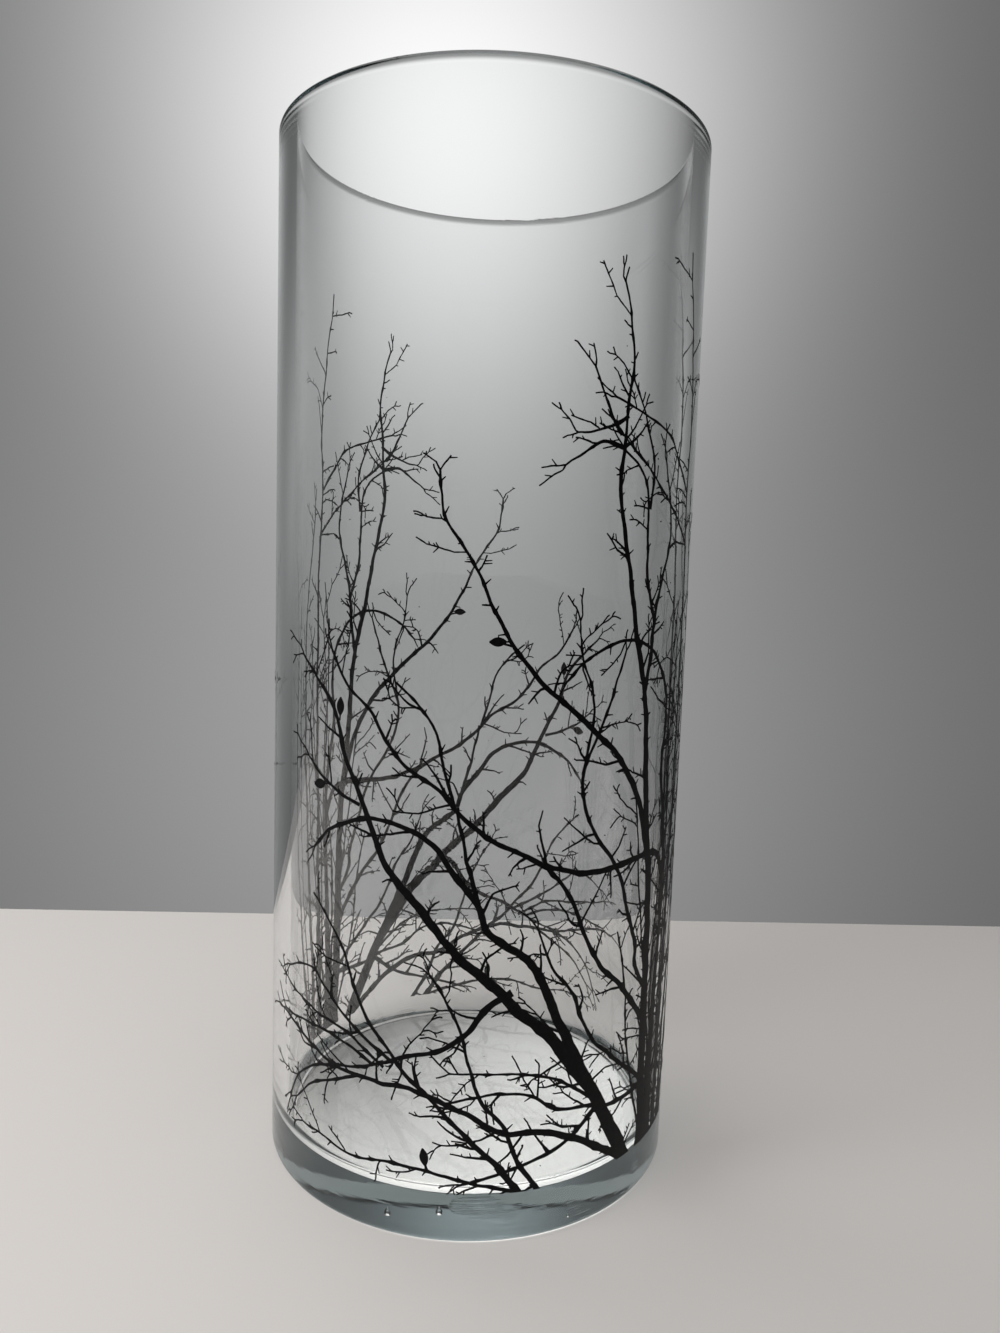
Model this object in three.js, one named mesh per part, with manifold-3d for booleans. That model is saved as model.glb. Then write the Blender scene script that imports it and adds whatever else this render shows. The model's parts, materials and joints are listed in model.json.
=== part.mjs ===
// A tall clear glass cylinder vase with a black print of bare shrub branches around its outside.
// Millimetres, +Z up. The origin is the centre of the flat underside that the vase stands on.
import * as THREE from 'three';
import { mergeVertices } from 'three/addons/utils/BufferGeometryUtils.js';
import Module from 'manifold-3d';

// Driving dimensions of the glass.
const HEIGHT = 300;
const OUTER_RADIUS = 62.5;
const WALL = 5;
const FLOOR = 10;
const RIM_ROUND = 1.6; // both edges of the rim, which keeps a narrow flat on top
const FOOT_ROUND = 1.5; // outer edge of the foot
const HEEL_FILLET = 6.5; // where the inner wall meets the floor
const GLASS_SIDES = 72;
const EDGE_STEPS = 3; // facets across a rounded edge
const HEEL_STEPS = 5;

// Driving dimensions of the print, a raised layer that stands just clear of the glass.
const PRINT_GAP = 0.3;
const PRINT_THICKNESS = 0.7;
const PRINT_BOTTOM = 14; // the drawing is cut off level here, just above the glass floor
const REPEAT_TURN = 184; // degrees from the first copy of the drawing to the second
const LEAST_WIDTH = 0.7; // no limb of the layer is thinner than this
const STATION_STEP = 15; // along a limb
const FACET_DEGREES = 12; // the layer is wrapped round the glass in flat facets this wide

const INNER_RADIUS = OUTER_RADIUS - WALL;
const WELD = 0.01; // corners closer than this are one corner
const MARGIN = 1; // a cutting block reaches this far past what it cuts
const RADIANS = Math.PI / 180;
const ARC_PER_DEGREE = OUTER_RADIUS * RADIANS;
const FACET_ARC = FACET_DEGREES * ARC_PER_DEGREE;

// The limbs of the drawing. A path lists [degrees round the glass, height]; 0 degrees is the front,
// and degrees grow to the right. The width falls evenly from the root end to the tip.
const LIMBS = [
  // Two heavy limbs that lean from the root clump to the upper left.
  { width: [5.6, 0.7], path: [[49, 8], [40, 24], [31, 41], [20, 56], [8, 69], [-4, 81], [-14, 93],
    [-22, 102], [-27, 114], [-33, 128], [-37, 141], [-43, 148], [-50, 154]] },
  { width: [3.6, 0.8], path: [[33, 38], [28, 48], [22, 61], [17, 73], [12, 80], [4, 86], [1, 93],
    [-5, 101], [-10, 109], [-18, 113], [-28, 113], [-36, 110], [-44, 103]] },
  // A long low arch that crosses the whole front, and its link to the limb below.
  { width: [2.2, 0.7], path: [[60, 92], [56, 100], [50, 102], [40, 101], [30, 100], [22, 102], [13, 106],
    [5, 110], [-3, 117], [-9, 123], [-17, 129], [-23, 137], [-27, 143], [-33, 148], [-38, 157]] },
  { width: [1.4, 0.8], path: [[2, 90], [0, 99], [-2, 109], [-4, 119]] },
  // The tall diagonal that ends in a fork.
  { width: [2.6, 0.5], path: [[51, 98], [46, 115], [38, 129], [30, 137], [21, 145], [14, 152], [8, 160],
    [3, 169], [-1, 178], [-5, 185], [-9, 192], [-10, 203]] },
  // The upright stems on the right, from the tallest outwards.
  { width: [5.4, 0.5], path: [[54, 8], [53, 40], [52, 75], [50, 106], [48, 126], [45, 147], [41, 163],
    [37, 181], [33, 200], [34, 212], [35, 222], [36, 232], [34, 244], [32, 251]] },
  { width: [1.7, 0.6], path: [[45, 145], [47, 158], [48, 168], [51, 178], [54, 188], [53, 198], [50, 209]] },
  { width: [1.2, 0.7], path: [[48, 166], [45, 177], [44, 190], [43, 201], [39, 207], [34, 210]] },
  { width: [4.2, 0.6], path: [[58, 8], [58, 45], [60, 90], [59, 108], [56, 124], [57, 142], [53, 153],
    [46, 160], [39, 162], [31, 160], [25, 156], [21, 151]] },
  { width: [3.2, 0.5], path: [[62, 8], [64, 55], [66, 110], [67, 150], [67, 172], [65, 190], [64, 204],
    [66, 218], [65, 232], [62, 248], [59, 265]] },
  { width: [3.0, 0.6], path: [[66, 8], [69, 45], [74, 90], [77, 130], [76, 160], [72, 182], [70, 198]] },
  { width: [2.4, 0.5], path: [[69, 8], [76, 45], [84, 85], [88, 120], [86, 150], [89, 174]] },
  // Long thin shoots that arch across the top of the upright stems.
  { width: [1.0, 0.5], path: [[65, 188], [58, 194], [50, 201], [42, 208], [34, 214]] },
  { width: [1.0, 0.5], path: [[64, 202], [58, 209], [52, 216], [42, 220], [31, 223]] },
  { width: [0.9, 0.5], path: [[44, 196], [45, 208], [41, 219], [36, 228]] },
  { width: [1.2, 0.5], path: [[35, 219], [30, 216], [21, 214]] },
  { width: [1.2, 0.5], path: [[34, 211], [27, 212], [18, 206]] },
  { width: [0.9, 0.5], path: [[33, 214], [29, 220], [25, 230]] },
  // Low limbs that run left from the root clump.
  { width: [2.6, 0.6], path: [[49, 11], [38, 19], [27, 26], [18, 30], [8, 32], [0, 37], [-10, 41],
    [-22, 43], [-35, 43], [-46, 47], [-56, 50], [-63, 50]] },
  { width: [1.9, 0.6], path: [[16, 10], [9, 20], [1, 29], [-9, 40], [-15, 46], [-19, 51], [-25, 58],
    [-29, 66], [-33, 76], [-39, 85], [-44, 90]] },
  { width: [1.6, 0.6], path: [[21, 10], [13, 22], [9, 32], [4, 39], [0, 50], [-2, 58], [-6, 67], [-10, 74]] },
  { width: [1.4, 0.5], path: [[24, 11], [10, 15], [0, 17], [-9, 20], [-20, 20], [-30, 19], [-40, 21],
    [-48, 22]] },
  { width: [2.2, 0.7], path: [[10, 70], [4, 66], [-1, 59], [-7, 54], [-15, 51], [-24, 47], [-34, 44]] },
  { width: [1.0, 0.5], path: [[-24, 47], [-33, 51], [-45, 52], [-58, 51]] },
  { width: [1.0, 0.5], path: [[-21, 47], [-32, 54], [-44, 56], [-58, 61]] },
  { width: [1.1, 0.5], path: [[-19, 49], [-29, 56], [-39, 64], [-45, 68], [-56, 65]] },
  { width: [1.1, 0.5], path: [[-28, 43], [-37, 38], [-44, 34], [-51, 27]] },
  { width: [1.0, 0.5], path: [[-34, 44], [-44, 40], [-50, 35], [-54, 28]] },
  { width: [1.6, 0.6], path: [[52, 33], [40, 32], [31, 34], [22, 36], [16, 41], [6, 42], [-5, 39]] },
  { width: [1.1, 0.5], path: [[32, 37], [26, 42], [19, 46], [8, 48], [-4, 48]] },
  { width: [1.6, 0.8], path: [[35, 34], [27, 27], [18, 23], [8, 20], [-1, 17]] },
  // Middle limbs between the clump and the long arch.
  { width: [2.0, 1.0], path: [[54, 50], [47, 59], [40, 67], [33, 74], [28, 84], [24, 95], [17, 104]] },
  { width: [1.8, 0.6], path: [[54, 60], [47, 69], [46, 78], [42, 90], [37, 101], [31, 109], [27, 119],
    [26, 128], [31, 139], [35, 150], [38, 159]] },
  { width: [0.9, 0.5], path: [[26, 127], [28, 139], [28, 148], [25, 157], [24, 167]] },
  { width: [1.9, 0.6], path: [[61, 26], [50, 36], [42, 43], [34, 51], [29, 60], [26, 68], [20, 76],
    [16, 87]] },
  // Short limbs of the upper left.
  { width: [1.1, 0.6], path: [[-29, 117], [-35, 119], [-41, 122], [-47, 127]] },
  { width: [1.0, 0.5], path: [[-5, 119], [-8, 130], [-10, 138], [-14, 144], [-20, 150]] },
];

// Seed pods, each on the side of a limb: the place of its stalk end, its length and width, and the way
// it points, in degrees anticlockwise from the right.
const PODS = [
  { at: [-35.5, 138.5], size: [6.2, 2.6], points: 88 },
  { at: [-39, 121], size: [6, 2.8], points: 190 },
  { at: [7, 161.5], size: [5.6, 2.4], points: 182 },
  { at: [-9.5, 20], size: [6.4, 2.4], points: 100 },
];
const POD_STATIONS = [0.22, 0.4, 0.62, 0.85, 1]; // shares of the pod's length
const POD_STALK = 0.15; // this share of the length is the stalk
const POD_WIDTH = 0.42; // at the stalk and at the point

// Twigs grow from every limb by this rule, on alternate sides, with a seeded random draw.
const TWIG_SEED = 20;
const TWIG_SPACING = 24;
const TWIG_START = [0.4, 1.4]; // spacings from the root of a limb to its first twig
const TWIG_STRIDE = [0.6, 1.4]; // spacings from each twig to the next
const TWIG_LENGTH = [8, 16];
const TWIG_LEAN = [32, 60]; // degrees between a twig and its limb
const TWIG_WIDTH = 1.2;
const TWIG_SHARE = 0.8; // of the width of the limb that it grows from
const TWIG_TIP = 0.35;

const random = seededRandom(TWIG_SEED);

const wasm = await Module();
wasm.setup();

const group = new THREE.Group();
const glass = new THREE.MeshStandardMaterial({
  color: 0xdfe8e8, roughness: 0.03, metalness: 0, transparent: true, opacity: 0.35,
});
const black = new THREE.MeshStandardMaterial({ color: 0x121214, roughness: 0.4, metalness: 0 });

group.add(named('glass_vase', glassVessel(), glass));
const drawing = branchPrint();
const front = named('branch_print_front', drawing, black);
const back = named('branch_print_back', drawing.clone(), black.clone());
back.rotation.z = REPEAT_TURN * RADIANS;
group.add(front, back);

function named(name, geometry, material) {
  const mesh = new THREE.Mesh(geometry, material);
  mesh.name = name;
  return mesh;
}

// The vessel is one turned body: up the outside, over the rim, down the inside and across the floor.
function glassVessel() {
  const profile = [
    [0, 0],
    ...quarter(OUTER_RADIUS - FOOT_ROUND, FOOT_ROUND, FOOT_ROUND, -90, EDGE_STEPS),
    ...quarter(OUTER_RADIUS - RIM_ROUND, HEIGHT - RIM_ROUND, RIM_ROUND, 0, EDGE_STEPS),
    ...quarter(INNER_RADIUS + RIM_ROUND, HEIGHT - RIM_ROUND, RIM_ROUND, 90, EDGE_STEPS),
    ...quarter(INNER_RADIUS - HEEL_FILLET, FLOOR + HEEL_FILLET, HEEL_FILLET, 0, HEEL_STEPS, -1),
    [0, FLOOR],
  ];
  return turned(profile, GLASS_SIDES);
}

// A quarter circle of profile points round (radius, height), from one angle by 90 degrees.
function quarter(radius, height, size, fromDegrees, steps, sense = 1) {
  const points = [];
  for (let i = 0; i <= steps; i += 1) {
    const angle = (fromDegrees + (sense * 90 * i) / steps) * RADIANS;
    points.push([radius + size * Math.cos(angle), height + size * Math.sin(angle)]);
  }
  return points;
}

// A profile of [radius, height] pairs turned about the Z axis.
function turned(profile, sides) {
  const points = profile.map(([radius, height]) => new THREE.Vector2(radius, height));
  const geometry = new THREE.LatheGeometry(points, sides);
  geometry.rotateX(Math.PI / 2);
  return welded(geometry);
}

// Shared corners become one vertex, and triangles that this closes up are left out.
function welded(source) {
  const geometry = source.clone();
  geometry.deleteAttribute('normal');
  geometry.deleteAttribute('uv');
  const merged = mergeVertices(geometry, WELD);
  const index = merged.getIndex().array;
  const kept = [];
  for (let i = 0; i < index.length; i += 3) {
    const [a, b, c] = index.slice(i, i + 3);
    if (a !== b && b !== c && c !== a) kept.push(a, b, c);
  }
  merged.setIndex(kept);
  return merged;
}

// The print: every limb, twig and pod as a flat bar of the unrolled drawing, joined, cut off level at the
// bottom, and wrapped round the glass. Any scrap that touches no limb is dropped.
function branchPrint() {
  const bars = [];
  LIMBS.forEach(({ width, path }) => {
    const limb = limbStations(path, width);
    bars.push(flatBar(limb));
    bars.push(...twigs(limb).map(flatBar));
  });
  bars.push(...PODS.map((pod) => flatBar(podStations(pod))));
  const joined = bars.reduce((whole, bar) => whole.add(bar));
  const { min, max } = joined.boundingBox();
  const below = block(min[0] - MARGIN, max[0] + MARGIN, min[2] - MARGIN, PRINT_BOTTOM);
  const trimmed = joined.subtract(below);
  const pieces = trimmed.decompose();
  pieces.sort((a, b) => b.volume() - a.volume());
  return wrapped(pieces[0]);
}

// The flat layer is cut into upright slices, and each is laid on its own facet. Slices meet on the cut
// planes, where the cut faces are left out and the corners are welded.
function wrapped(layer) {
  const { min, max } = layer.boundingBox();
  const leftmost = Math.round(min[0] / FACET_ARC);
  const rightmost = Math.round(max[0] / FACET_ARC);
  const positions = [];
  for (let facet = leftmost; facet <= rightmost; facet += 1) {
    const from = (facet - 0.5) * FACET_ARC;
    const to = (facet + 0.5) * FACET_ARC;
    const slice = layer.intersect(block(from, to, min[2] - MARGIN, max[2] + MARGIN));
    const { vertProperties, triVerts } = slice.getMesh();
    for (let i = 0; i < triVerts.length; i += 3) {
      const corners = [0, 1, 2].map((k) => {
        const [x, y, z] = vertProperties.slice(3 * triVerts[i + k], 3 * triVerts[i + k] + 3);
        return [snapped(x, from, to), y, z];
      });
      const cutFace = [from, to].some((edge) => corners.every(([x]) => x === edge));
      if (!cutFace) corners.forEach((corner) => positions.push(...onFacet(corner, from)));
    }
  }
  const geometry = new THREE.BufferGeometry();
  geometry.setAttribute('position', new THREE.Float32BufferAttribute(positions, 3));
  return welded(geometry);
}

function snapped(x, from, to) {
  if (Math.abs(x - from) < WELD) return from;
  if (Math.abs(x - to) < WELD) return to;
  return x;
}

// A corner of the flat layer placed on the facet that starts at arc length `from`. The inner face of the
// layer is at y = 0 and its outer face at y = -PRINT_THICKNESS, as seen from the front.
function onFacet([x, y, z], from) {
  const half = (FACET_DEGREES / 2) * RADIANS;
  const middle = (from + FACET_ARC / 2) / OUTER_RADIUS;
  const apothem = OUTER_RADIUS + PRINT_GAP - y;
  const along = ((x - from) / FACET_ARC - 0.5) * 2 * apothem * Math.tan(half);
  return [
    apothem * Math.sin(middle) + along * Math.cos(middle),
    -apothem * Math.cos(middle) + along * Math.sin(middle),
    z,
  ];
}

// An upright block of the unrolled drawing, deeper than the layer is thick.
function block(x0, x1, z0, z1) {
  const geometry = new THREE.BoxGeometry(x1 - x0, 4 * PRINT_THICKNESS, z1 - z0);
  geometry.translate((x0 + x1) / 2, -PRINT_THICKNESS / 2, (z0 + z1) / 2);
  return solid(welded(geometry));
}

// Stations along a limb of the unrolled drawing: x is arc length round the glass, z is height.
function limbStations(path, [rootWidth, tipWidth]) {
  const points = path.map(([degrees, height]) => new THREE.Vector3(degrees * ARC_PER_DEGREE, 0, height));
  const curve = new THREE.CatmullRomCurve3(points, false, 'catmullrom', 0.5);
  const count = Math.max(2, Math.round(curve.getLength() / STATION_STEP));
  return curve.getSpacedPoints(count).map((point, i) => ({
    x: point.x,
    z: point.z,
    width: Math.max(LEAST_WIDTH, THREE.MathUtils.lerp(rootWidth, tipWidth, i / count)),
  }));
}

// A tapering twig at each spacing along a limb.
function twigs(limb) {
  const grown = [];
  let side = random() < 0.5 ? -1 : 1;
  let travelled = TWIG_SPACING * between(TWIG_START);
  for (let i = 1; i < limb.length; i += 1) {
    const from = limb[i - 1];
    const to = limb[i];
    const heading = Math.atan2(to.z - from.z, to.x - from.x);
    travelled -= Math.hypot(to.x - from.x, to.z - from.z);
    if (travelled > 0) continue;
    const lean = side * between(TWIG_LEAN) * RADIANS;
    const width = Math.min(TWIG_WIDTH, TWIG_SHARE * to.width);
    const start = { x: (from.x + to.x) / 2, z: (from.z + to.z) / 2, width };
    grown.push([start, step(start, heading + lean, between(TWIG_LENGTH), TWIG_TIP)]);
    travelled = TWIG_SPACING * between(TWIG_STRIDE);
    side = -side;
  }
  return grown;
}

// A seed pod as stations with a rounded outline, on a short stalk.
function podStations({ at: [degrees, height], size: [length, width], points }) {
  const heading = points * RADIANS;
  const start = { x: degrees * ARC_PER_DEGREE, z: height, width: LEAST_WIDTH };
  return [start, ...POD_STATIONS.map((part) => {
    const swell = Math.sin(Math.PI * (part - POD_STALK) / (1 - POD_STALK));
    return step(start, heading, length * part, Math.max(POD_WIDTH, width * swell));
  })];
}

function step(from, heading, length, width) {
  return { x: from.x + length * Math.cos(heading), z: from.z + length * Math.sin(heading), width };
}

function between([low, high]) {
  return low + (high - low) * random();
}

// A strip of stations as a closed flat bar, as thick as the layer.
function flatBar(stations) {
  const positions = [];
  const indices = [];
  stations.forEach((station, i) => {
    const before = stations[Math.max(0, i - 1)];
    const after = stations[Math.min(stations.length - 1, i + 1)];
    const heading = Math.atan2(after.z - before.z, after.x - before.x);
    const dx = -Math.sin(heading) * station.width / 2;
    const dz = Math.cos(heading) * station.width / 2;
    positions.push(
      station.x + dx, 0, station.z + dz,
      station.x - dx, 0, station.z - dz,
      station.x - dx, -PRINT_THICKNESS, station.z - dz,
      station.x + dx, -PRINT_THICKNESS, station.z + dz,
    );
    if (i === 0) return;
    const here = 4 * (i - 1);
    const next = 4 * i;
    for (let k = 0; k < 4; k += 1) {
      const l = (k + 1) % 4;
      indices.push(here + k, next + l, here + l, here + k, next + k, next + l);
    }
  });
  const end = positions.length / 3 - 4;
  indices.push(0, 1, 2, 0, 2, 3, end, end + 2, end + 1, end, end + 3, end + 2);
  const geometry = new THREE.BufferGeometry();
  geometry.setAttribute('position', new THREE.Float32BufferAttribute(positions, 3));
  geometry.setIndex(indices);
  return solid(geometry);
}

function solid(geometry) {
  const vertProperties = new Float32Array(geometry.getAttribute('position').array);
  const triVerts = new Uint32Array(geometry.getIndex().array);
  return new wasm.Manifold(new wasm.Mesh({ numProp: 3, vertProperties, triVerts }));
}

// The same draws every time: a linear congruential generator on 32 bits.
function seededRandom(seed) {
  let state = seed;
  return () => {
    state = (Math.imul(state, 1664525) + 1013904223) >>> 0;
    return state / 4294967296;
  };
}

export default group;
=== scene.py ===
import json
import math
import random

import bpy
from mathutils import Matrix, Vector

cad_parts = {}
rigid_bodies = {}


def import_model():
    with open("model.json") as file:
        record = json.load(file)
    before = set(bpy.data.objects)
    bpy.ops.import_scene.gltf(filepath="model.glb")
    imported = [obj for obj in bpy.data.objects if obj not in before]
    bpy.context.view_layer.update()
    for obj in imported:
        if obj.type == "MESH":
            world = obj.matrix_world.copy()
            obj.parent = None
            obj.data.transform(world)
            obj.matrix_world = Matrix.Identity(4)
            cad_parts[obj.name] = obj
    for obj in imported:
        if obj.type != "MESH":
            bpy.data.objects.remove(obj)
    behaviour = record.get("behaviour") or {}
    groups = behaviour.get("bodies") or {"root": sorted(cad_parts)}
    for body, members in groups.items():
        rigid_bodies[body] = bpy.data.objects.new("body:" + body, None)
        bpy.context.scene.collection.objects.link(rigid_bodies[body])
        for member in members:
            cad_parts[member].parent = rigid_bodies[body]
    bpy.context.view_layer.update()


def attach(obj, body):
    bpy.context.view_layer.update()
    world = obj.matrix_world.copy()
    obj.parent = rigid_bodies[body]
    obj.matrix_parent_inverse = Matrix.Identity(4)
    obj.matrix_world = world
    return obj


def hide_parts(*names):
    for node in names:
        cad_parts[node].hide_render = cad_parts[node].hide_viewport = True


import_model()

# The camera looks at the vase from the front through a wide lens, from a little above its middle and
# tipped down a few degrees.
CAMERA_PLACE = (0.0, -0.3071, 0.1832)
CAMERA_PITCH = math.radians(-6.51)
CAMERA_YAW = math.radians(1.15)
CAMERA_ROLL = math.radians(1.88)
camera_data = bpy.data.cameras.new("camera")
camera_data.sensor_fit = "VERTICAL"
camera_data.sensor_height = 24
camera_data.lens = 17.8
camera_data.clip_start = 0.01
camera = bpy.data.objects.new("camera", camera_data)
bpy.context.scene.collection.objects.link(camera)
camera.matrix_world = (
    Matrix.Translation(CAMERA_PLACE)
    @ Matrix.Rotation(-CAMERA_YAW, 4, "Z")
    @ Matrix.Rotation(math.radians(90) + CAMERA_PITCH, 4, "X")
    @ Matrix.Rotation(CAMERA_ROLL, 4, "Z")
)
bpy.context.scene.camera = camera


# The vessel is one piece of clear soda-lime glass, a straight cylinder with an even wall and a thick
# floor. It is pressed and blown in a mould and cut level at the top. The rim is melted to a soft round,
# and the flat underside is polished.
HEIGHT = 0.300
OUTER_RADIUS = 0.0625
WALL = 0.005
FLOOR = 0.010
RIM_ROUND = 0.0016
FOOT_ROUND = 0.0015
HEEL_FILLET = 0.0065
INNER_RADIUS = OUTER_RADIUS - WALL
HOLD = 0.0003  # a ring this near a corner keeps the flat beside it flat to the light
GLASS_SIDES = 256
EDGE_STEPS, HEEL_STEPS = 6, 10  # facets across an edge of the rim, and across the foot and the heel


def deselect_all():
    bpy.ops.object.select_all(action="DESELECT")


def quarter(radius, height, size, start, sense, steps):
    """A quarter circle of (radius, height) points round a centre."""
    angles = (math.radians(start + sense * 90 * i / steps) for i in range(steps + 1))
    return [(radius + size * math.cos(a), height + size * math.sin(a)) for a in angles]


def turned(name, profile, sides):
    """A closed body drawn ring by ring, from its underside round to its inner floor."""
    (radius, height), *rings = profile
    deselect_all()
    bpy.ops.mesh.primitive_circle_add(
        vertices=sides, radius=radius, fill_type="TRIFAN", location=(0, 0, height)
    )
    body = bpy.context.object
    body.name = name
    bpy.ops.object.transform_apply(location=True)
    bpy.ops.object.mode_set(mode="EDIT")
    bpy.ops.mesh.select_all(action="SELECT")
    bpy.ops.mesh.region_to_loop()
    for next_radius, next_height in rings:
        rise, widening = next_height - height, next_radius / radius
        bpy.ops.mesh.extrude_edges_move(TRANSFORM_OT_translate={"value": (0, 0, rise)})
        bpy.ops.transform.resize(value=(widening, widening, 1), center_override=(0, 0, 0))
        radius, height = next_radius, next_height
    bpy.ops.mesh.edge_face_add()
    bpy.ops.mesh.poke()
    bpy.ops.mesh.select_all(action="SELECT")
    bpy.ops.mesh.normals_make_consistent(inside=False)
    bpy.ops.object.mode_set(mode="OBJECT")
    bpy.ops.object.shade_smooth()
    return body


vase = turned("clear_glass_vessel", [
    (OUTER_RADIUS - FOOT_ROUND - HOLD, 0),
    *quarter(OUTER_RADIUS - FOOT_ROUND, FOOT_ROUND, FOOT_ROUND, -90, 1, HEEL_STEPS),
    (OUTER_RADIUS, FOOT_ROUND + HOLD),
    (OUTER_RADIUS, HEIGHT - RIM_ROUND - HOLD),
    *quarter(OUTER_RADIUS - RIM_ROUND, HEIGHT - RIM_ROUND, RIM_ROUND, 0, 1, EDGE_STEPS),
    (OUTER_RADIUS - RIM_ROUND - HOLD, HEIGHT),
    (INNER_RADIUS + RIM_ROUND + HOLD, HEIGHT),
    *quarter(INNER_RADIUS + RIM_ROUND, HEIGHT - RIM_ROUND, RIM_ROUND, 90, 1, EDGE_STEPS),
    (INNER_RADIUS, HEIGHT - RIM_ROUND - HOLD),
    (INNER_RADIUS, FLOOR + HEEL_FILLET + HOLD),
    *quarter(INNER_RADIUS - HEEL_FILLET, FLOOR + HEEL_FILLET, HEEL_FILLET, 0, -1, HEEL_STEPS),
    (INNER_RADIUS - HEEL_FILLET - HOLD, FLOOR),
], GLASS_SIDES)

# A few air bubbles are caught near the edge of the floor: drops with the point up, as cavities.
BUBBLES = (
    # degrees round the glass from the front, distance from its axis, height, and width
    (-19.7, 0.0600, 0.0051, 0.0019),
    (-6.2, 0.0598, 0.0077, 0.0019),
    (28.0, 0.0600, 0.0027, 0.0009),
)
BUBBLE_SEGMENTS, BUBBLE_RINGS = 24, 16
# Three steps draw a ball out to a drop. Each scales all that lies above a height, which is given in
# radii of the ball, about the ball's middle.
DROP_STEPS = ((0.1, (1, 1, 1.5)), (0.6, (0.75, 0.75, 1.15)), (1.2, (0.6, 0.6, 1)))
for degrees, distance, height, width in BUBBLES:
    deselect_all()
    bpy.ops.mesh.primitive_uv_sphere_add(
        segments=BUBBLE_SEGMENTS, ring_count=BUBBLE_RINGS, radius=width / 2
    )
    bubble = bpy.context.object
    bpy.ops.object.mode_set(mode="EDIT")
    for above, scaling in DROP_STEPS:
        bpy.ops.mesh.select_all(action="DESELECT")
        bpy.ops.object.mode_set(mode="OBJECT")
        for vertex in bubble.data.vertices:
            vertex.select = vertex.co.z > above * width / 2
        bpy.ops.object.mode_set(mode="EDIT")
        bpy.ops.transform.resize(value=scaling, center_override=(0, 0, 0))
    bpy.ops.mesh.select_all(action="SELECT")
    bpy.ops.mesh.flip_normals()
    bpy.ops.object.mode_set(mode="OBJECT")
    angle = math.radians(degrees)
    bubble.location = (distance * math.sin(angle), -distance * math.cos(angle), height)
    bpy.ops.object.transform_apply(location=True)
    bpy.ops.object.shade_smooth()
    vase.select_set(True)
    bpy.context.view_layer.objects.active = vase
    bpy.ops.object.join()

glass = bpy.data.materials.new("clear_glass")
glass.use_nodes = True
nodes, links = glass.node_tree.nodes, glass.node_tree.links
shader = nodes["Principled BSDF"]
shader.inputs["Base Color"].default_value = (1, 1, 1, 1)
shader.inputs["Roughness"].default_value = 0.0
shader.inputs["IOR"].default_value = 1.52
shader.inputs["Transmission Weight"].default_value = 1.0


def feed(slot, value):
    """Sets an input to a constant, or links it to the output of another node."""
    if isinstance(value, bpy.types.NodeSocket):
        links.new(value, slot)
    else:
        slot.default_value = value


def math_node(operation, *values):
    node = nodes.new("ShaderNodeMath")
    node.operation = operation
    for slot, value in zip(node.inputs, values):
        feed(slot, value)
    return node.outputs[0]


def vector_node(operation, output, *values):
    node = nodes.new("ShaderNodeVectorMath")
    node.operation = operation
    for slot, value in zip(node.inputs, values):
        feed(slot, value)
    return node.outputs[output]


def map_range(value, from_min, from_max, to_min, to_max, interpolation="LINEAR"):
    node = nodes.new("ShaderNodeMapRange")
    node.interpolation_type = interpolation
    feed(node.inputs["Value"], value)
    feed(node.inputs["From Min"], from_min)
    feed(node.inputs["From Max"], from_max)
    feed(node.inputs["To Min"], to_min)
    feed(node.inputs["To Max"], to_max)
    return node.outputs["Result"]


def noise(vector, scale, detail):
    node = nodes.new("ShaderNodeTexNoise")
    node.inputs["Scale"].default_value = scale
    node.inputs["Detail"].default_value = detail
    links.new(vector, node.inputs["Vector"])
    return node.outputs["Fac"]


def along_axis(vector, axis):
    node = nodes.new("ShaderNodeSeparateXYZ")
    links.new(vector, node.inputs["Vector"])
    return node.outputs[axis]


# The edge of the thick floor carries patches of fine level flow lines from the mould, and the rest of
# the glass is almost smooth.
LINE_SCALE = (60, 60, 1100)  # the lines run level, so they follow much closer on each other upwards
LINE_DETAIL = 3
LINE_DEPTH = 0.0004
PATCH_SCALE, PATCH_DETAIL = 38, 2
PATCH_EDGE, PATCH_CORE = 0.55, 0.72  # the noise at which a patch begins and at which it is full
OFF_PATCHES, OFF_FLOOR = 0.04, 0.02  # the share of the lines that is left there
place = nodes.new("ShaderNodeTexCoord").outputs["Object"]
stretch = nodes.new("ShaderNodeMapping")
stretch.inputs["Scale"].default_value = LINE_SCALE
links.new(place, stretch.inputs["Vector"])
flow = noise(stretch.outputs["Vector"], 1, LINE_DETAIL)
spots = noise(place, PATCH_SCALE, PATCH_DETAIL)
patches = map_range(spots, PATCH_EDGE, PATCH_CORE, OFF_PATCHES, 1)
from_axis = vector_node("LENGTH", "Value", vector_node("MULTIPLY", "Vector", place, (1, 1, 0)))
outside = map_range(from_axis, INNER_RADIUS, OUTER_RADIUS, 0, 1)
level = along_axis(place, "Z")
low = map_range(level, FLOOR, FLOOR + HEEL_FILLET, 1, OFF_FLOOR)
patchy = math_node("MULTIPLY", flow, patches)
outer = math_node("MULTIPLY", patchy, outside)
ripple = nodes.new("ShaderNodeBump")
ripple.inputs["Distance"].default_value = LINE_DEPTH
links.new(math_node("MULTIPLY", outer, low), ripple.inputs["Height"])
links.new(ripple.outputs["Normal"], shader.inputs["Normal"])

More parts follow.
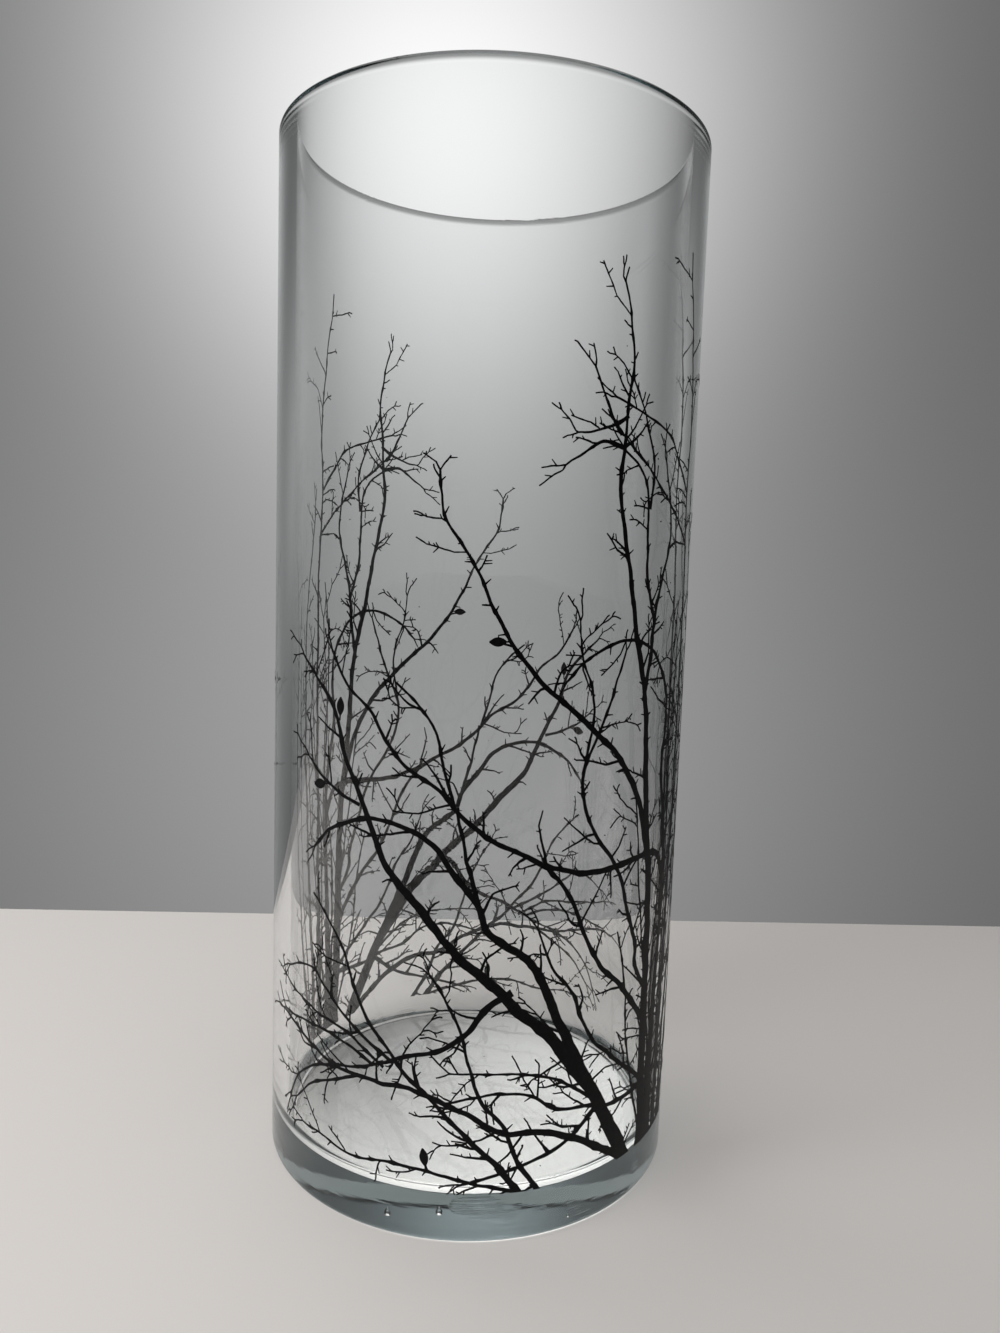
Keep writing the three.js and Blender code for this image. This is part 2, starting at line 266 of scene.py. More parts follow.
# Light on its way to the table goes straight through. The underside's see-through colour is set above 1,
# most of all towards the right and the front: a painted pool of light on the table under the vase, for
# the light that the thick floor gathers.
GATHER_TOWARDS = (0.8, -0.6, 0)
LEAST_GATHERED, MOST_GATHERED = 0.3, 3.6  # times the light that falls on the underside
PASSED = 0.94  # the share of the light that any other face lets through
UNDERSIDE, ABOVE_UNDERSIDE = 0.0001, 0.0002
towards = vector_node("DOT_PRODUCT", "Value", place, GATHER_TOWARDS)
gathered = map_range(towards, -OUTER_RADIUS, OUTER_RADIUS, LEAST_GATHERED, MOST_GATHERED)
through = nodes.new("ShaderNodeBsdfTransparent")
links.new(map_range(level, UNDERSIDE, ABOVE_UNDERSIDE, gathered, PASSED), through.inputs["Color"])
path = nodes.new("ShaderNodeLightPath")
to_table = math_node("MAXIMUM", path.outputs["Is Shadow Ray"], path.outputs["Is Diffuse Ray"])
mix = nodes.new("ShaderNodeMixShader")
links.new(to_table, mix.inputs["Fac"])
links.new(shader.outputs["BSDF"], mix.inputs[1])
links.new(through.outputs["BSDF"], mix.inputs[2])
links.new(mix.outputs["Shader"], nodes["Material Output"].inputs["Surface"])

# The glass has a faint blue green tint, which shows where it is thick.
TINT, TINT_STRENGTH = (0.74, 0.80, 0.81, 1), 26
absorb = nodes.new("ShaderNodeVolumeAbsorption")
absorb.inputs["Color"].default_value = TINT
absorb.inputs["Density"].default_value = TINT_STRENGTH
links.new(absorb.outputs["Volume"], nodes["Material Output"].inputs["Volume"])
vase.data.materials.append(glass)
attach(vase, "root")
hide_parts("glass_vase")


# Each print is a layer of black ceramic ink, a few hundredths of a millimetre thick, screened on to
# the outside of the glass and fired into it: a shrub of bare branches, cut off level just above the
# glass floor. It is drawn flat and unrolled, in millimetres, and then laid round the glass.
MILLIMETRE = 0.001
PRINT_BOTTOM = 14
REPEAT_TURN = math.radians(184)  # from the first copy of the drawing to the second
INK_SUNK, INK_PROUD = 0.05, 0.05  # how far the layer goes into the glass and stands out of it
SLICE_DEGREES = 3  # the layer follows the glass in upright slices this wide
REACH_DEGREES = 120  # all of the drawing lies within this angle of the front, on either side
ARC_PER_DEGREE = math.radians(OUTER_RADIUS / MILLIMETRE)

# Limbs: width in millimetres at the root and at the tip, then the course as degrees round the glass,
# where 0 is the front and degrees grow to the right, and height.
LIMBS = (
    # Two heavy limbs that lean from the root clump to the upper left.
    ((5.6, 0.7), ((49, 8), (40, 24), (31, 41), (20, 56), (8, 69), (-4, 81), (-14, 93), (-22, 102),
                  (-27, 114), (-33, 128), (-37, 141), (-43, 148), (-50, 154))),
    ((3.6, 0.8), ((33, 38), (28, 48), (22, 61), (17, 73), (12, 80), (4, 86), (1, 93), (-5, 101),
                  (-10, 109), (-18, 113), (-28, 113), (-36, 110), (-44, 103))),
    # A long arch that crosses the whole front, and its link to the limb below.
    ((2.2, 0.7), ((60, 92), (56, 100), (50, 102), (40, 101), (30, 100), (22, 102), (13, 106),
                  (5, 110), (-3, 117), (-9, 123), (-17, 129), (-23, 137), (-27, 143), (-33, 148),
                  (-38, 157))),
    ((1.4, 0.8), ((2, 90), (0, 99), (-2, 109), (-4, 119))),
    # The tall diagonal.
    ((2.6, 0.5), ((51, 98), (46, 115), (38, 129), (30, 137), (21, 145), (14, 152), (8, 160),
                  (3, 169), (-1, 178), (-5, 185), (-9, 192), (-10, 203))),
    # The upright stems on the right, from the thickest outwards, and the two side stems of that one.
    ((5.4, 0.5), ((54, 8), (53, 40), (52, 75), (50, 106), (48, 126), (45, 147), (41, 163),
                  (37, 181), (33, 200), (34, 212), (35, 222), (36, 232), (34, 244), (32, 251))),
    ((1.7, 0.6), ((45, 145), (47, 158), (48, 168), (51, 178), (54, 188), (53, 198), (50, 209))),
    ((1.2, 0.7), ((48, 166), (45, 177), (44, 190), (43, 201), (39, 207), (34, 210))),
    ((4.2, 0.6), ((58, 8), (58, 45), (60, 90), (59, 108), (56, 124), (57, 142), (53, 153),
                  (46, 160), (39, 162), (31, 160), (25, 156), (21, 151))),
    ((3.2, 0.5), ((62, 8), (64, 55), (66, 110), (67, 150), (67, 172), (65, 190), (64, 204),
                  (66, 218), (65, 232), (62, 248), (59, 265))),
    ((3.0, 0.6), ((66, 8), (69, 45), (74, 90), (77, 130), (76, 160), (72, 182), (70, 198))),
    ((2.4, 0.5), ((69, 8), (76, 45), (84, 85), (88, 120), (86, 150), (89, 174))),
    # Long thin shoots that arch across the top of the upright stems.
    ((1.0, 0.5), ((65, 188), (58, 194), (50, 201), (42, 208), (34, 214))),
    ((1.0, 0.5), ((64, 202), (58, 209), (52, 216), (42, 220), (31, 223))),
    ((0.9, 0.5), ((44, 196), (45, 208), (41, 219), (36, 228))),
    ((1.2, 0.5), ((35, 219), (30, 216), (21, 214))),
    ((1.2, 0.5), ((34, 211), (27, 212), (18, 206))),
    ((0.9, 0.5), ((33, 214), (29, 220), (25, 230))),
    # Low limbs that run left from the root clump.
    ((2.6, 0.6), ((49, 11), (38, 19), (27, 26), (18, 30), (8, 32), (0, 37), (-10, 41), (-22, 43),
                  (-35, 43), (-46, 47), (-56, 50), (-63, 50))),
    ((1.9, 0.6), ((16, 10), (9, 20), (1, 29), (-9, 40), (-15, 46), (-19, 51), (-25, 58),
                  (-29, 66), (-33, 76), (-39, 85), (-44, 90))),
    ((1.6, 0.6), ((21, 10), (13, 22), (9, 32), (4, 39), (0, 50), (-2, 58), (-6, 67), (-10, 74))),
    ((1.4, 0.5), ((24, 11), (10, 15), (0, 17), (-9, 20), (-20, 20), (-30, 19), (-40, 21),
                  (-48, 22))),
    ((2.2, 0.7), ((10, 70), (4, 66), (-1, 59), (-7, 54), (-15, 51), (-24, 47), (-34, 44))),
    ((1.0, 0.5), ((-24, 47), (-33, 51), (-45, 52), (-58, 51))),
    ((1.0, 0.5), ((-21, 47), (-32, 54), (-44, 56), (-58, 61))),
    ((1.1, 0.5), ((-19, 49), (-29, 56), (-39, 64), (-45, 68), (-56, 65))),
    ((1.1, 0.5), ((-28, 43), (-37, 38), (-44, 34), (-51, 27))),
    ((1.0, 0.5), ((-34, 44), (-44, 40), (-50, 35), (-54, 28))),
    ((1.6, 0.6), ((52, 33), (40, 32), (31, 34), (22, 36), (16, 41), (6, 42), (-5, 39))),
    ((1.1, 0.5), ((32, 37), (26, 42), (19, 46), (8, 48), (-4, 48))),
    ((1.6, 0.8), ((35, 34), (27, 27), (18, 23), (8, 20), (-1, 17))),
    # Middle limbs between the clump and the long arch.
    ((2.0, 1.0), ((54, 50), (47, 59), (40, 67), (33, 74), (28, 84), (24, 95), (17, 104))),
    ((1.8, 0.6), ((54, 60), (47, 69), (46, 78), (42, 90), (37, 101), (31, 109), (27, 119),
                  (26, 128), (31, 139), (35, 150), (38, 159))),
    ((0.9, 0.5), ((26, 127), (28, 139), (28, 148), (25, 157), (24, 167))),
    ((1.9, 0.6), ((61, 26), (50, 36), (42, 43), (34, 51), (29, 60), (26, 68), (20, 76),
                  (16, 87))),
    # Short limbs of the upper left.
    ((1.1, 0.6), ((-29, 117), (-35, 119), (-41, 122), (-47, 127))),
    ((1.0, 0.5), ((-5, 119), (-8, 130), (-10, 138), (-14, 144), (-20, 150))),
    # Thin shoots that rise from the root clump among the upright stems, and cross them.
    ((1.5, 0.5), ((51, 8), (55, 30), (59, 60), (62, 95), (60, 130), (63, 160))),
    ((1.4, 0.5), ((57, 8), (56, 35), (52, 65), (47, 92), (44, 118))),
    ((1.3, 0.5), ((61, 8), (57, 42), (56, 75), (61, 112), (59, 140), (62, 172))),
    ((1.2, 0.5), ((65, 8), (62, 45), (63, 80), (69, 120), (71, 152))),
    ((1.2, 0.5), ((56, 8), (61, 38), (67, 72), (73, 108), (70, 142))),
    ((1.2, 0.5), ((54, 8), (50, 28), (45, 47), (43, 66), (39, 82))),
    ((1.1, 0.5), ((68, 8), (72, 40), (79, 78), (81, 112), (83, 140))),
)

# Seed pods: the stalk end, the length and width, and the way the pod points, in degrees
# anticlockwise from the right.
PODS = (
    ((-35.5, 138.5), (6.2, 2.6), 88),
    ((-39, 121), (6.0, 2.8), 190),
    ((7, 161.5), (5.6, 2.4), 182),
    ((-9.5, 20), (6.4, 2.4), 100),
)

# The bars of the drawing: each is a list of stations (x, z, heading, left half width, right half width).
bars = []
PRINT_SEED = 7
chance = random.Random(PRINT_SEED)


def between(low, high):
    return chance.uniform(low, high)


def either_side():
    return chance.choice((-1, 1))


def mixed(low, high, share):
    return low + (high - low) * share


def moved(place, heading, distance):
    return (place[0] + distance * math.cos(heading), place[1] + distance * math.sin(heading))


def on_curve(points, share):
    """A point on the Catmull-Rom curve through the points, at a share of their count."""
    run = (len(points) - 1) * share
    i = min(int(run), len(points) - 2)
    w = run - i
    place = []
    for axis in (0, 1):
        b, c = points[i][axis], points[i + 1][axis]
        a = points[i - 1][axis] if i > 0 else 2 * b - c
        d = points[i + 2][axis] if i + 2 < len(points) else 2 * c - b
        start, end = (c - a) / 2, (d - b) / 2
        place.append(b + start * w + (3 * c - 3 * b - 2 * start - end) * w**2
                     + (2 * b - 2 * c + start + end) * w**3)
    return tuple(place)


CURVE_STEPS = 200  # short straight steps that a whole curve is measured in


def evenly(points, step):
    """Places an even step apart along the curve through the points, and the curve's length."""
    fine = [on_curve(points, i / CURVE_STEPS) for i in range(CURVE_STEPS + 1)]
    runs = [0.0]
    for a, b in zip(fine, fine[1:]):
        runs.append(runs[-1] + math.dist(a, b))
    count = max(2, round(runs[-1] / step))
    places, k = [], 0
    for j in range(count + 1):
        run = runs[-1] * j / count
        while k < CURVE_STEPS - 1 and runs[k + 1] < run:
            k += 1
        within = (run - runs[k]) / (runs[k + 1] - runs[k])
        places.append(on_curve(points, (k + within) / CURVE_STEPS))
    return places, runs[-1]


def headings(places):
    ends = zip([places[0], *places], [*places[1:], places[-1]])
    return [math.atan2(b[1] - a[1], b[0] - a[0]) for a, b in ends]


UNEVEN = (0.6, 1.4)  # least and most share of a stride between two knots
ROUNDING = 1e-6


def crooked(length, stride, size):
    """Offsets that run straight between uneven knots, as a function of the way along."""
    knots = [(0.0, 0.0)]
    while knots[-1][0] < length:
        knots.append((knots[-1][0] + stride * between(*UNEVEN), between(-size, size)))

    def offset(run):
        i = next(i for i, knot in enumerate(knots[1:]) if run <= knot[0] + ROUNDING)
        (a, low), (b, high) = knots[i], knots[i + 1]
        return mixed(low, high, (run - a) / (b - a))

    return offset


STUB_TIP = 0.26  # width of the point
STUB_TURN = 0.15  # radians that the point is cut askew
STUB_LEAN = (35, 75)  # degrees between a stub and what it grows from


def stub(place, heading, length, width):
    """A short pointed stub of a broken twig, or a bud."""
    bar = []
    for share in (0, 0.5, 1):
        half = mixed(width, STUB_TIP, share) / 2
        bar.append((*moved(place, heading, length * share), heading + STUB_TURN * share, half, half))
    bars.append(bar)


TWIG_STEP = 0.8
TWIG_TIP, TWIG_TAPER, TWIG_ROUGH = 0.40, 0.8, 0.05
TWIG_CURL, TWIG_KINK, TWIG_WAVER = 30, 28, 2.5  # degrees over the whole twig, at a kink, at each step
STEPS_A_KINK = 7
TWIG_STUB_LENGTH, TWIG_STUB_WIDTH = (0.7, 2.2), 0.42
STUBLESS_STEPS = 5  # a twig of no more steps than this carries no stubs
FORK_ORDERS = 2  # twigs of this order, counted from 0, and finer ones don't fork
FORK_LEAN, FORK_LENGTH, FORK_WIDTH, FORK_AGAIN = (12, 34), (2.2, 5.2), 1.1 * TWIG_TIP, 0.25


def twig(place, heading, length, width, forks, stubs, order=0):
    """A crooked twig with a blunt tip, which may fork and carry stubs."""
    steps = max(2, round(length / TWIG_STEP))
    curl = math.radians(between(-TWIG_CURL, TWIG_CURL)) / steps
    kinks = {}
    for _ in range(1 + steps // STEPS_A_KINK):
        step = chance.randint(1, steps - 1)
        kinks[step] = math.radians(between(-TWIG_KINK, TWIG_KINK))
    bar = []
    for i in range(steps + 1):
        width_here = mixed(width, TWIG_TIP, (i / steps) ** TWIG_TAPER)
        halves = [width_here / 2 + between(-TWIG_ROUGH, TWIG_ROUGH) for _ in range(2)]
        bar.append((*place, heading, *halves))
        heading += curl + kinks.get(i, 0) + math.radians(between(-TWIG_WAVER, TWIG_WAVER))
        place = moved(place, heading, length / steps)
    bars.append(bar)
    x, z, heading, *_ = bar[-1]
    if order < FORK_ORDERS and chance.random() < forks:
        for side in (-1, 1):
            lean = side * math.radians(between(*FORK_LEAN))
            fork_length = between(*FORK_LENGTH) / (1 + order / 2)
            twig((x, z), heading + lean, fork_length, FORK_WIDTH, FORK_AGAIN, 0, order + 1)
    for _ in range(stubs if steps > STUBLESS_STEPS else 0):
        x, z, heading, *_ = bar[chance.randint(2, steps - 1)]
        lean = either_side() * math.radians(between(*STUB_LEAN))
        stub((x, z), heading + lean, between(*TWIG_STUB_LENGTH), TWIG_STUB_WIDTH)


# How a limb grows, in millimetres and degrees. The first four pairs are the stride and the size of the
# slow and the quick bends of its course, of the changes of its width, as a share, and of the roughness
# of its edges.
SWAY, SHAKE, SWELL, ROUGH = (12, 0.6), (4, 0.26), (8, 0.08), (2.2, 0.12)
LIMB_STEP = 0.9
EDGE_GRAIN = 0.03
LEAST_ROUGH, FULL_ROUGH_WIDTH = 0.3, 3  # a thin limb has less of the roughness
STRAIGHT_ROOT = 10  # the bends come in over this length
LEAST_LIMB = 0.55
TAPER = 0.65  # under 1, a limb narrows fast from its root and then slowly
FIRST_JOINT, JOINT_SPACING, BARE_TIP = (3, 9), (4, 11), 2
JOINT_SWELLING, JOINT_REACH = (0.15, 0.55), (0.6, 1.3)
JOINT_STUB_SIDES = ((), (-1,), (1,), (-1, 1), (-1,), (1,))
JOINT_STUB_REACH, JOINT_STUB_WIDTH = (0.4, 2.0), 0.6
FIRST_TWIG, TWIG_SPACING = (4, 12), (7, 14)
TWIG_LENGTHS, TWIG_SPREAD = (3, 4.5, 6, 8, 10, 12), (0.8, 1.2)
TWIG_LEAN = (30, 68)
MOST_TWIG, TWIG_SHARE, TWIG_EXTRA = 0.85, 0.62, 0.1  # width, from the limb's half widths
HIGH_SHOOTS = 130  # from this height up the twigs are fewer
LOW_TWIGS, HIGH_TWIGS, OTHER_SIDE = 0.8, 0.55, 0.75  # odds of a twig, and of a change of side after it
TWIG_FORKS, TWIG_STUBS = 0.2, 2
FORKED_TIPS, TIP_LEAN, TIP_LENGTH, TIP_WIDTH, TIP_FORKS, TIP_STUBS = 0.7, (10, 32), (4, 9), 0.5, 0.3, 1


def limb(path, root_width, tip_width):
    """A limb with swollen joints and rough edges, and all that grows on it."""
    course, length = evenly(path, LIMB_STEP)
    last = len(course) - 1
    sway, shake = crooked(length, *SWAY), crooked(length, *SHAKE)
    swell = crooked(length, *SWELL)
    runs = [length * i / last for i in range(last + 1)]
    places = []
    for run, place, heading in zip(runs, course, headings(course)):
        offset = (sway(run) + shake(run)) * min(1, run / STRAIGHT_ROOT)
        places.append(moved(place, heading + math.radians(90), offset))
    joints, at = [], between(*FIRST_JOINT)
    while at < length - BARE_TIP:
        joints.append((at, between(*JOINT_SWELLING), between(*JOINT_REACH)))
        at += between(*JOINT_SPACING)
    edges = crooked(length, *ROUGH), crooked(length, *ROUGH)
    bar = []
    for run, place, heading in zip(runs, places, headings(places)):
        width = mixed(root_width, tip_width, (run / length) ** TAPER)
        width = max(LEAST_LIMB, width) * (1 + swell(run))
        width += sum(size * math.exp(-(((run - at) / reach) ** 2)) for at, size, reach in joints)
        rough = min(1, LEAST_ROUGH + width / FULL_ROUGH_WIDTH)
        halves = [width / 2 + rough * edge(run) + between(-EDGE_GRAIN, EDGE_GRAIN) for edge in edges]
        bar.append((*place, heading, *halves))
    bars.append(bar)

    # Twigs a few millimetres apart, mostly on alternate sides, and fewer on the high shoots.
    at, side = between(*FIRST_TWIG), either_side()
    while at < length - 1:
        x, z, heading, left, right = bar[round(last * at / length)]
        if chance.random() < (LOW_TWIGS if z < HIGH_SHOOTS else HIGH_TWIGS):
            lean = side * math.radians(between(*TWIG_LEAN))
            size = chance.choice(TWIG_LENGTHS) * between(*TWIG_SPREAD)
            twig_width = min(MOST_TWIG, TWIG_SHARE * (left + right) + TWIG_EXTRA)
            twig((x, z), heading + lean, size, twig_width, TWIG_FORKS, TWIG_STUBS, 1)
        side = -side if chance.random() < OTHER_SIDE else side
        at += between(*TWIG_SPACING)

    # Stubs at the joints, and a forked tip.
    for at, *_ in joints:
        x, z, heading, left, right = bar[round(last * at / length)]
        for side in chance.choice(JOINT_STUB_SIDES):
            lean = side * math.radians(between(*STUB_LEAN))
            stub_length = (left + right) / 2 + between(*JOINT_STUB_REACH)
            stub((x, z), heading + lean, stub_length, JOINT_STUB_WIDTH)
    if chance.random() < FORKED_TIPS:
        x, z, heading, *_ = bar[-1]
        for side in (-1, 1):
            lean = side * math.radians(between(*TIP_LEAN))
            twig((x, z), heading + lean, between(*TIP_LENGTH), TIP_WIDTH, TIP_FORKS, TIP_STUBS, 1)
    return bar


# The longer twigs come by a rule of their own, from a linear congruential generator on 32 bits.
LONG_SEED, MULTIPLIER, INCREMENT, MODULUS = 20, 1664525, 1013904223, 2**32
LONG_STEP, LONG_SPACING = 15, 24
FIRST_LONG, NEXT_LONG = (0.4, 1.4), (0.6, 1.4)  # spacings before the first one and each next one
LONG_LENGTH, LONG_LEAN = (8, 16), (32, 60)
LEAST_PARENT, LONG_SHARE, MOST_LONG = 0.7, 0.8, 1.2  # width, from the limb's
LONG_THINNING = 0.72
LONG_FORKS, LONG_STUBS = 0.35, 4
seed = [LONG_SEED]


def drawn(low, high):
    seed[0] = (seed[0] * MULTIPLIER + INCREMENT) % MODULUS
    return mixed(low, high, seed[0] / MODULUS)


def long_twigs(path, root_width, tip_width, bar):
    """Long twigs along a limb, each from the nearest station of the limb's bar."""
    places, _ = evenly(path, LONG_STEP)
    last = len(places) - 1
    side = -1 if drawn(0, 1) < 0.5 else 1
    wait = LONG_SPACING * drawn(*FIRST_LONG)
    for i, (a, b) in enumerate(zip(places, places[1:]), 1):
        wait -= math.dist(a, b)
        if wait > 0:
            continue
        heading = math.atan2(b[1] - a[1], b[0] - a[0])
        lean = side * math.radians(drawn(*LONG_LEAN))
        parent_width = max(LEAST_PARENT, mixed(root_width, tip_width, i / last))
        width = LONG_THINNING * min(MOST_LONG, LONG_SHARE * parent_width)
        middle = ((a[0] + b[0]) / 2, (a[1] + b[1]) / 2)
        start = min((station[:2] for station in bar), key=lambda place: math.dist(place, middle))
        twig(start, heading + lean, drawn(*LONG_LENGTH), width, LONG_FORKS, LONG_STUBS)
        wait = LONG_SPACING * drawn(*NEXT_LONG)
        side = -side


for widths, course in LIMBS:
    path = [(degrees * ARC_PER_DEGREE, z) for degrees, z in course]
    long_twigs(path, *widths, limb(path, *widths))

POD_STEPS = 14
POD_STALK = 0.2  # this share of a pod's length is its stalk
POD_FULLNESS = 0.75  # under 1, a pod is blunter than a sine wave
POD_STALK_WIDTH = 0.45
for (degrees, z), (length, width), turn in PODS:
    root, heading = (degrees * ARC_PER_DEGREE, z), math.radians(turn)
    bar = []
    for i in range(POD_STEPS + 1):
        share = i / POD_STEPS
        swell = math.sin(math.pi * max(0, (share - POD_STALK) / (1 - POD_STALK))) ** POD_FULLNESS
        half = max(POD_STALK_WIDTH, width * swell) / 2
        bar.append((*moved(root, heading, length * share), heading, half, half))
    bars.append(bar)

# A few specks of stray ink lie near the limbs, each a rough lozenge of four stations.
SPECKS = 60
SPECK_AWAY, SPECK_SIZE = (1.5, 9), (0.10, 0.26)
SPECK_STATIONS = ((-1, 0.35), (-0.3, 0.9), (0.6, 0.8), (1.1, 0.3))  # way along and half width, in sizes
for _ in range(SPECKS):
    x, z, *_ = chance.choice(chance.choice(bars))
    place = moved((x, z), between(-math.pi, math.pi), between(*SPECK_AWAY))
    heading, size = between(0, math.pi), between(*SPECK_SIZE)
    bars.append([(*moved(place, heading, size * step), heading, *[size * share] * 2)
                 for step, share in SPECK_STATIONS])

# Each bar becomes a thin closed prism, from the ink's inner face to its outer one, and one union
# joins them all.
print_bars = bpy.data.collections.new("print_bars")
bpy.context.scene.collection.children.link(print_bars)
for bar in bars:
    corners, faces = [], [(0, 1, 2, 3)]
    for x, z, heading, left, right in bar:
        x0, z0 = moved((x, z), heading + math.pi / 2, left)
        x1, z1 = moved((x, z), heading - math.pi / 2, right)
        corners += [(x0, INK_SUNK, z0), (x1, INK_SUNK, z1), (x1, -INK_PROUD, z1), (x0, -INK_PROUD, z0)]
    for base in range(0, len(corners) - 4, 4):
        for i in range(4):
            j = (i + 1) % 4
            faces.append((base + i, base + i + 4, base + j + 4, base + j))
    end = len(corners) - 4
    faces.append((end + 3, end + 2, end + 1, end))
    prism = bpy.data.meshes.new("print_bar")
    prism.from_pydata(corners, [], faces)
    print_bars.objects.link(bpy.data.objects.new("print_bar", prism))

ink = print_bars.objects[0]
ink.name = "branch_print_front_ink"
bpy.context.scene.collection.objects.link(ink)
print_bars.objects.unlink(ink)
deselect_all()
bpy.context.view_layer.objects.active = ink
ink.select_set(True)
union = ink.modifiers.new("joined", "BOOLEAN")
union.operation = "UNION"
union.operand_type = "COLLECTION"
union.collection = print_bars
union.solver = "MANIFOLD"
bpy.ops.object.modifier_apply(modifier=union.name)
for spare in list(print_bars.objects):
    bpy.data.meshes.remove(spare.data)
bpy.data.collections.remove(print_bars)

# Flat faces are cleared of needless edges, the bottom is cut level, and upright cuts let the layer
# bend.
FLAT_ANGLE, SMOOTH_ANGLE = math.radians(0.5), math.radians(30)
bpy.ops.object.mode_set(mode="EDIT")
bpy.ops.mesh.select_all(action="SELECT")
bpy.ops.mesh.dissolve_limited(angle_limit=FLAT_ANGLE)
bpy.ops.mesh.select_all(action="SELECT")
bpy.ops.mesh.bisect(plane_co=(0, 0, PRINT_BOTTOM), plane_no=(0, 0, 1), use_fill=True, clear_inner=True)
for degrees in range(-REACH_DEGREES, REACH_DEGREES + 1, SLICE_DEGREES):
    bpy.ops.mesh.select_all(action="SELECT")
    bpy.ops.mesh.bisect(plane_co=(degrees * ARC_PER_DEGREE, 0, 0), plane_no=(1, 0, 0))
bpy.ops.object.mode_set(mode="OBJECT")

for vertex in ink.data.vertices:
    x, y, z = vertex.co
    angle, radius = x * MILLIMETRE / OUTER_RADIUS, OUTER_RADIUS - y * MILLIMETRE
    vertex.co = (radius * math.sin(angle), -radius * math.cos(angle), z * MILLIMETRE)
bpy.ops.object.shade_smooth_by_angle(angle=SMOOTH_ANGLE)

second_ink = ink.copy()
second_ink.data = ink.data.copy()
second_ink.name = "branch_print_back_ink"
second_ink.data.transform(Matrix.Rotation(REPEAT_TURN, 4, "Z"))
bpy.context.scene.collection.objects.link(second_ink)

# Fired ink is near black and half dull, a little uneven in its cover.
COVER_SCALE, COVER_DETAIL = 900, 3
FULL_COVER, THIN_COVER = (0.0010, 0.0010, 0.0012, 1), (0.0045, 0.0045, 0.0050, 1)
FULL_UP_TO, THIN_FROM = 0.35, 0.75  # of the noise
black = bpy.data.materials.new("black_print")
black.use_nodes = True
nodes, links = black.node_tree.nodes, black.node_tree.links
shader = nodes["Principled BSDF"]
shader.inputs["Roughness"].default_value = 0.45
shader.inputs["Specular IOR Level"].default_value = 0.12
place = nodes.new("ShaderNodeTexCoord").outputs["Object"]
cover = noise(place, COVER_SCALE, COVER_DETAIL)
tone = nodes.new("ShaderNodeValToRGB")
tone.color_ramp.elements[0].position = FULL_UP_TO
tone.color_ramp.elements[0].color = FULL_COVER
tone.color_ramp.elements[1].position = THIN_FROM
tone.color_ramp.elements[1].color = THIN_COVER
links.new(cover, tone.inputs["Fac"])
links.new(tone.outputs["Color"], shader.inputs["Base Color"])
for layer, node in ((ink, "branch_print_front"), (second_ink, "branch_print_back")):
    layer.data.materials.clear()
    layer.data.materials.append(black)
    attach(layer, "root")
    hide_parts(node)


# The table is a plain pale one with a dull finish. It ends a short way behind the vase. In front it has
# painted shade: its colour darkens towards the viewer, standing in for less light falling there.
TABLE_SIZE = 8
TABLE_BACK = 0.176
TABLE_TOP = -0.0001  # just under the foot of the vase
TABLE_TURN = math.radians(1.2)
# The painted shade is full up to the first of these places and gone from the second.
PAINTED_SHADE_UP_TO, PALE_FROM = -0.30, -0.10  # places in front of the vase's axis, which is at 0
# The darker tone is the painted shade. The paler one is the table's own colour.
PAINTED_SHADE_TONE, PALE_TONE = (0.26, 0.25, 0.245, 1), (0.75, 0.72, 0.70, 1)
deselect_all()
bpy.ops.mesh.primitive_plane_add(size=TABLE_SIZE, location=(0, TABLE_BACK - TABLE_SIZE / 2, TABLE_TOP))
table = bpy.context.object
table.name = "table"
bpy.ops.object.transform_apply(location=True)
table.data.transform(Matrix.Rotation(TABLE_TURN, 4, "Z"))
pale = bpy.data.materials.new("pale_table_with_painted_shade")
pale.use_nodes = True
nodes, links = pale.node_tree.nodes, pale.node_tree.links
shader = nodes["Principled BSDF"]
shader.inputs["Roughness"].default_value = 0.7
place = nodes.new("ShaderNodeTexCoord").outputs["Object"]
# Painted shade: the table's colour fades from the shaded tone to its own pale one, away from the viewer.
out_of_painted_shade = map_range(along_axis(place, "Y"), PAINTED_SHADE_UP_TO, PALE_FROM, 0, 1, "SMOOTHSTEP")
painted_shade_blend = nodes.new("ShaderNodeMix")
painted_shade_blend.data_type = "RGBA"
painted_shade_blend.inputs["A"].default_value = PAINTED_SHADE_TONE
painted_shade_blend.inputs["B"].default_value = PALE_TONE
links.new(out_of_painted_shade, painted_shade_blend.inputs["Factor"])
links.new(painted_shade_blend.outputs["Result"], shader.inputs["Base Color"])
table.data.materials.append(pale)


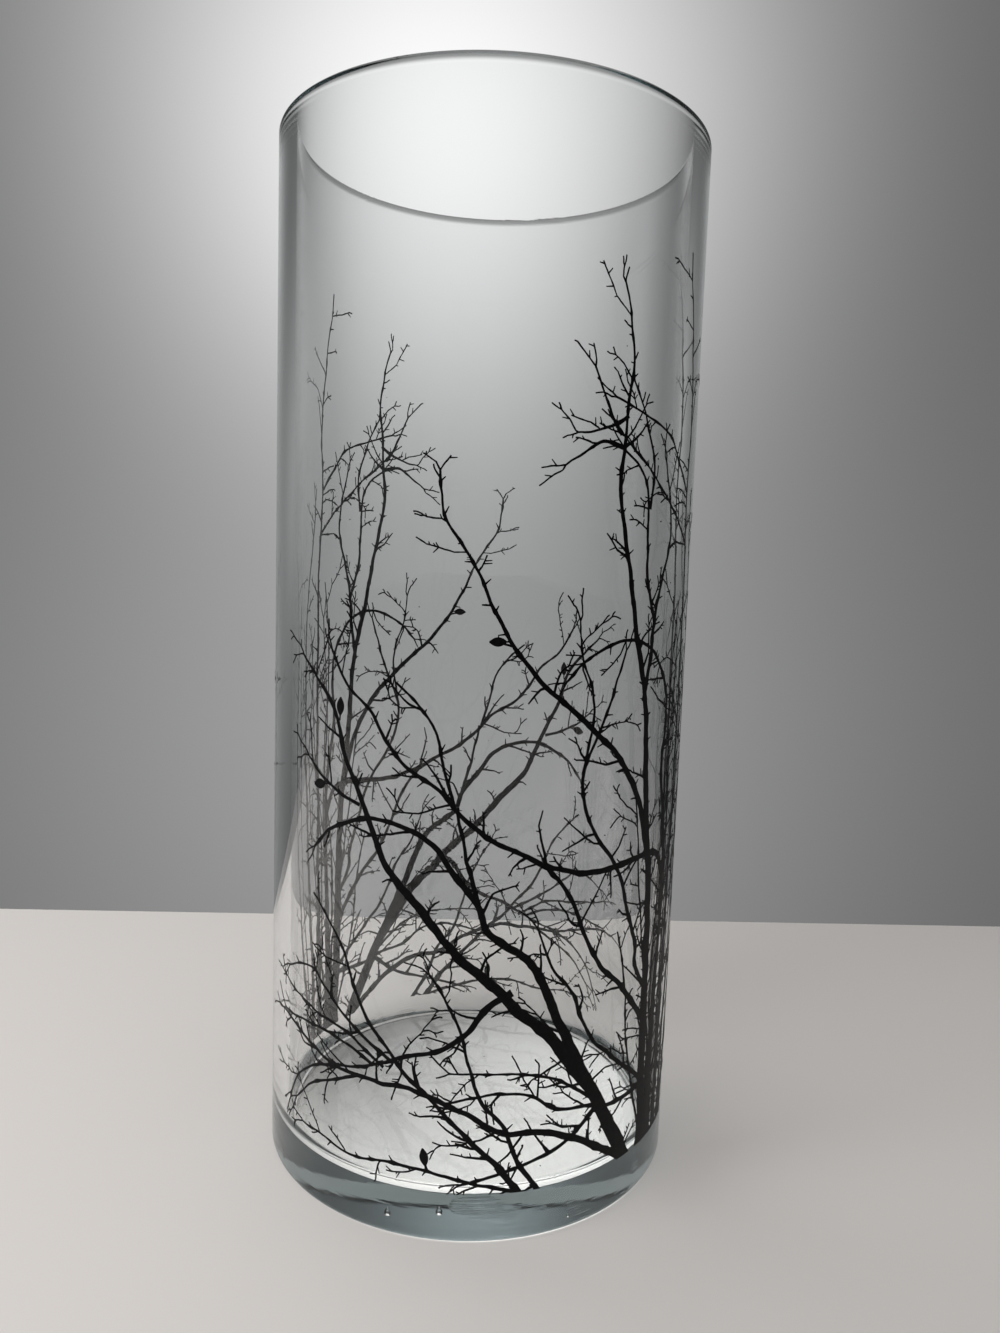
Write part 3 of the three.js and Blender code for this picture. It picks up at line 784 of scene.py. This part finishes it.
# The room is a plain grey one, brighter where light falls on its walls, most of all above and behind
# the vase, and darker overhead. It is a world of smooth pools of light, without any image.
AMBIENT = 0.095
POOLS = (
    # azimuth to the right of straight behind, elevation, spread, all in degrees, and strength
    (-3, 23, 10.5, 0.82),
    (-3.5, -9, 19, 0.25),
    (-68, 9, 8, 0.60),
    (-46, 4, 7, 0.15),
    (48, 8, 7, 0.25),
    (180, 25, 40, 0.14),
)
WALL_TOP, CEILING_EDGE = math.radians(37), math.radians(45)  # elevations
CEILING_SHARE = 0.3  # of the light on the walls
studio = bpy.data.worlds.new("studio")
studio.use_nodes = True
nodes, links = studio.node_tree.nodes, studio.node_tree.links
where = nodes.new("ShaderNodeTexCoord").outputs["Generated"]
brightness = AMBIENT
for azimuth, elevation, spread, strength in POOLS:
    azimuth, elevation = math.radians(azimuth), math.radians(elevation)
    level = math.cos(elevation)
    middle = (math.sin(azimuth) * level, math.cos(azimuth) * level, math.sin(elevation))
    away = math_node("SUBTRACT", vector_node("DOT_PRODUCT", "Value", where, middle), 1)
    fall = math_node("EXPONENT", math_node("DIVIDE", away, math.radians(spread) ** 2))
    brightness = math_node("MULTIPLY_ADD", fall, strength, brightness)
height = along_axis(where, "Z")
lit = map_range(height, math.sin(WALL_TOP), math.sin(CEILING_EDGE), 1, CEILING_SHARE, "SMOOTHSTEP")
brightness = math_node("MULTIPLY", brightness, lit)
links.new(brightness, nodes["Background"].inputs["Color"])
bpy.context.scene.world = studio

# Three square soft lamps, each aimed at the foot of the vase. They are kept out of the reflections,
# so the glass mirrors the room alone.
LAMPS = (
    # name, width, strength in watts, and place
    ("overhead_lamp", 1.2, 4.6, (0, 0, 1.3)),
    ("front_left_lamp", 0.6, 4.9, (-0.5, -0.45, 0.6)),
    ("back_left_lamp", 0.6, 1.5, (-0.5, 0.45, 0.6)),
)
LAMP_COLOUR = (1.0, 0.985, 0.97)
for name, width, strength, place in LAMPS:
    soft_light = bpy.data.lights.new(name, "AREA")
    soft_light.size = width
    soft_light.energy = strength
    soft_light.color = LAMP_COLOUR
    lamp = bpy.data.objects.new(name, soft_light)
    lamp.location = place
    lamp.rotation_euler = Vector(place).to_track_quat("Z", "Y").to_euler()
    lamp.visible_glossy = False
    lamp.visible_transmission = False
    bpy.context.scene.collection.objects.link(lamp)

# Light crosses many faces of the glass floor before it leaves, so paths are long.
BOUNCES = 24
scene = bpy.context.scene
scene.view_settings.view_transform = "Standard"
scene.cycles.max_bounces = BOUNCES
scene.cycles.transmission_bounces = BOUNCES
scene.cycles.glossy_bounces = BOUNCES
